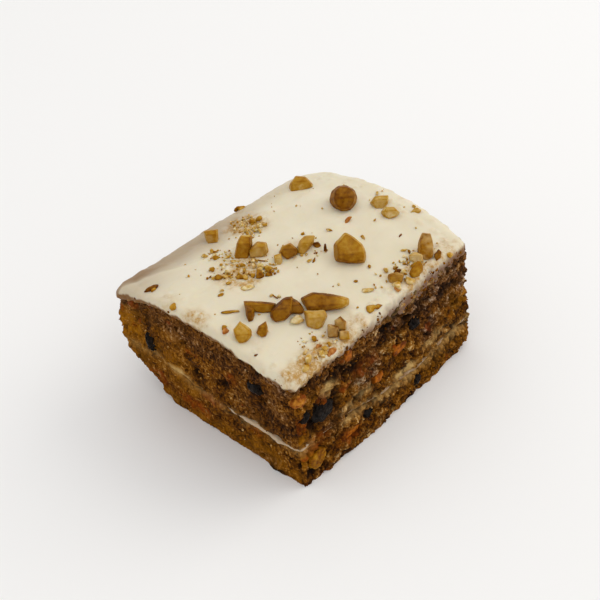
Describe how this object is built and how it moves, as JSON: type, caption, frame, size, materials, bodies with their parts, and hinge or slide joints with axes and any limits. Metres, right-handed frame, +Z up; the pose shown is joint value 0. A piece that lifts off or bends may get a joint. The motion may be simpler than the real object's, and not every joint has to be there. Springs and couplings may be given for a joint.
{
  "type": "carrot cake slice",
  "caption": "Square-cut slice of layered carrot cake with a cream filling, smooth frosting and chopped walnuts on top.",
  "frame": {"origin": "centre of the slice's bounding box, at the flat base that it stands on", "axes": "+Z up; +X along the long cut face from its front edge to its right edge; +Y along the short cut face from the front edge to the left edge"},
  "size_m": [0.0819, 0.0718, 0.0489],
  "materials": {
    "sponge": "matte, moist open crumb",
    "cream": "soft satin",
    "frosting": "soft satin, knife marks",
    "walnut": "dry, slightly oily on the skin",
    "raisin": "wrinkled, slightly glossy",
    "sultana": "wrinkled, translucent amber",
    "carrot": "moist, fibrous"
  },
  "bodies": {
    "root": {"lower_sponge": "sponge", "cream_filling": "cream", "upper_sponge": "sponge", "frosting": "frosting", "walnut_1": "walnut", "walnut_2": "walnut", "walnut_3": "walnut", "walnut_4": "walnut", "walnut_5": "walnut", "walnut_6": "walnut", "walnut_7": "walnut", "walnut_8": "walnut", "walnut_9": "walnut", "walnut_10": "walnut", "walnut_11": "walnut", "walnut_12": "walnut", "walnut_13": "walnut", "walnut_14": "walnut", "walnut_15": "walnut", "walnut_16": "walnut", "walnut_17": "walnut", "walnut_18": "walnut", "walnut_19": "walnut", "walnut_20": "walnut", "raisin_1": "raisin", "raisin_2": "raisin", "raisin_3": "raisin", "raisin_4": "raisin", "raisin_5": "raisin", "raisin_6": "raisin", "raisin_7": "raisin", "sultana_1": "sultana", "carrot_1": "carrot", "carrot_2": "carrot", "carrot_3": "carrot", "carrot_4": "carrot", "walnut_21": "walnut"}
  },
  "joints": []
}
